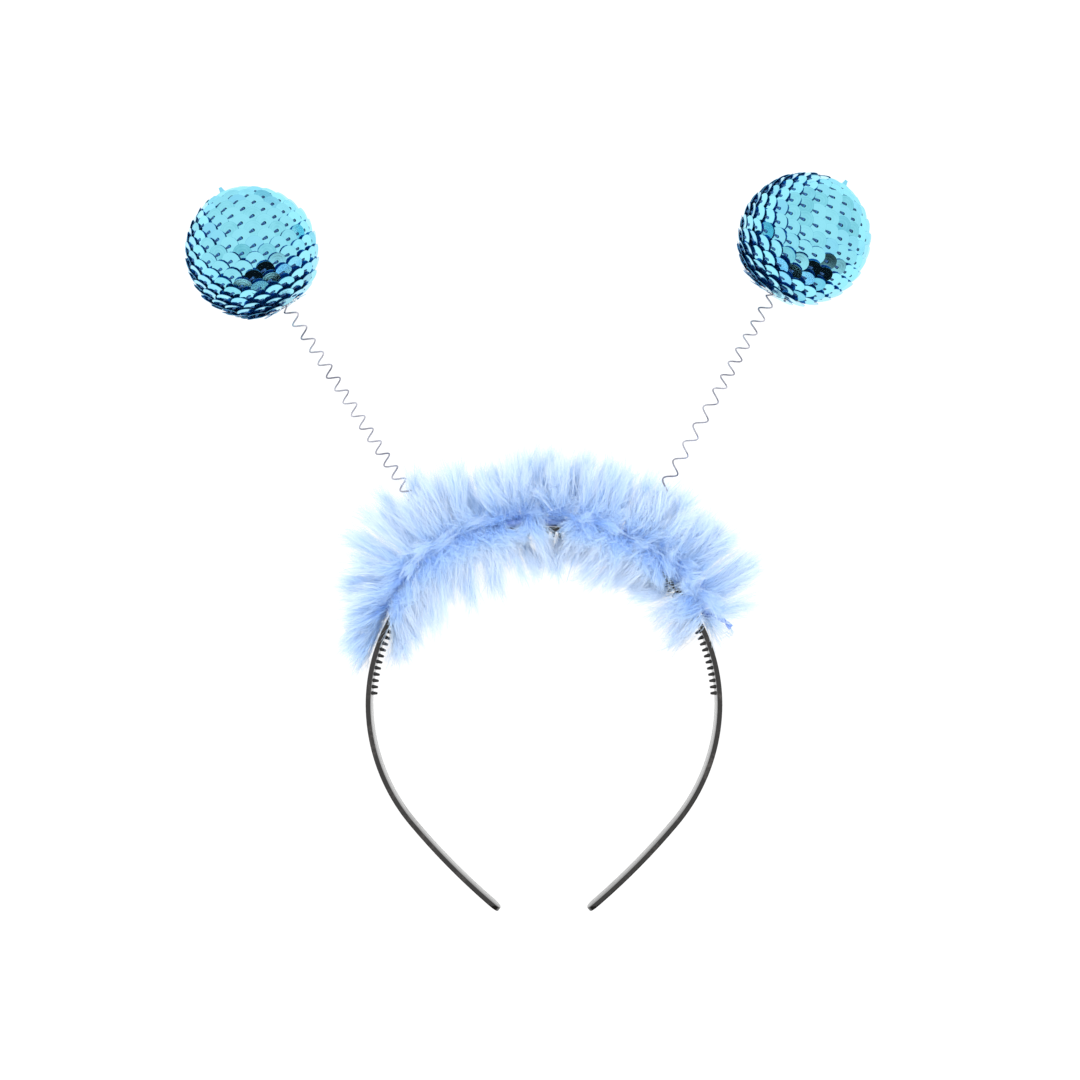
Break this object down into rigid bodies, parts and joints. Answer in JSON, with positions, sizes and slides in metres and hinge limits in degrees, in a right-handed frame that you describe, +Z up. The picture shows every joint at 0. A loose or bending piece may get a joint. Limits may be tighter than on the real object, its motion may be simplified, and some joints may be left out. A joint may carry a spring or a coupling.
{
  "type": "head bopper",
  "caption": "Comb headband with sequin balls on coil springs and a fluffy feather trim along its crown, lying flat.",
  "frame": {"origin": "centre of the footprint's box on the floor that the head bopper lies on", "axes": "+Z up from the floor, +Y from the band's tips to the balls, +X from the left arm to the right arm"},
  "size_m": [0.2184, 0.239, 0.0423],
  "materials": {
    "band_plastic": "glossy black moulded plastic",
    "spring_wire": "bright drawn steel wire",
    "foam": "fine-beaded foam seen only as dark gaps",
    "sequin_foil": "metallic cyan foil",
    "feather": "soft pale blue down"
  },
  "bodies": {
    "root": {"headband": "band_plastic", "spring_left": "spring_wire", "spring_right": "spring_wire", "ball_core_left": "foam", "ball_core_right": "foam", "sequin_cover_left": "sequin_foil", "sequin_cover_right": "sequin_foil", "feather_trim": "feather"}
  },
  "joints": []
}
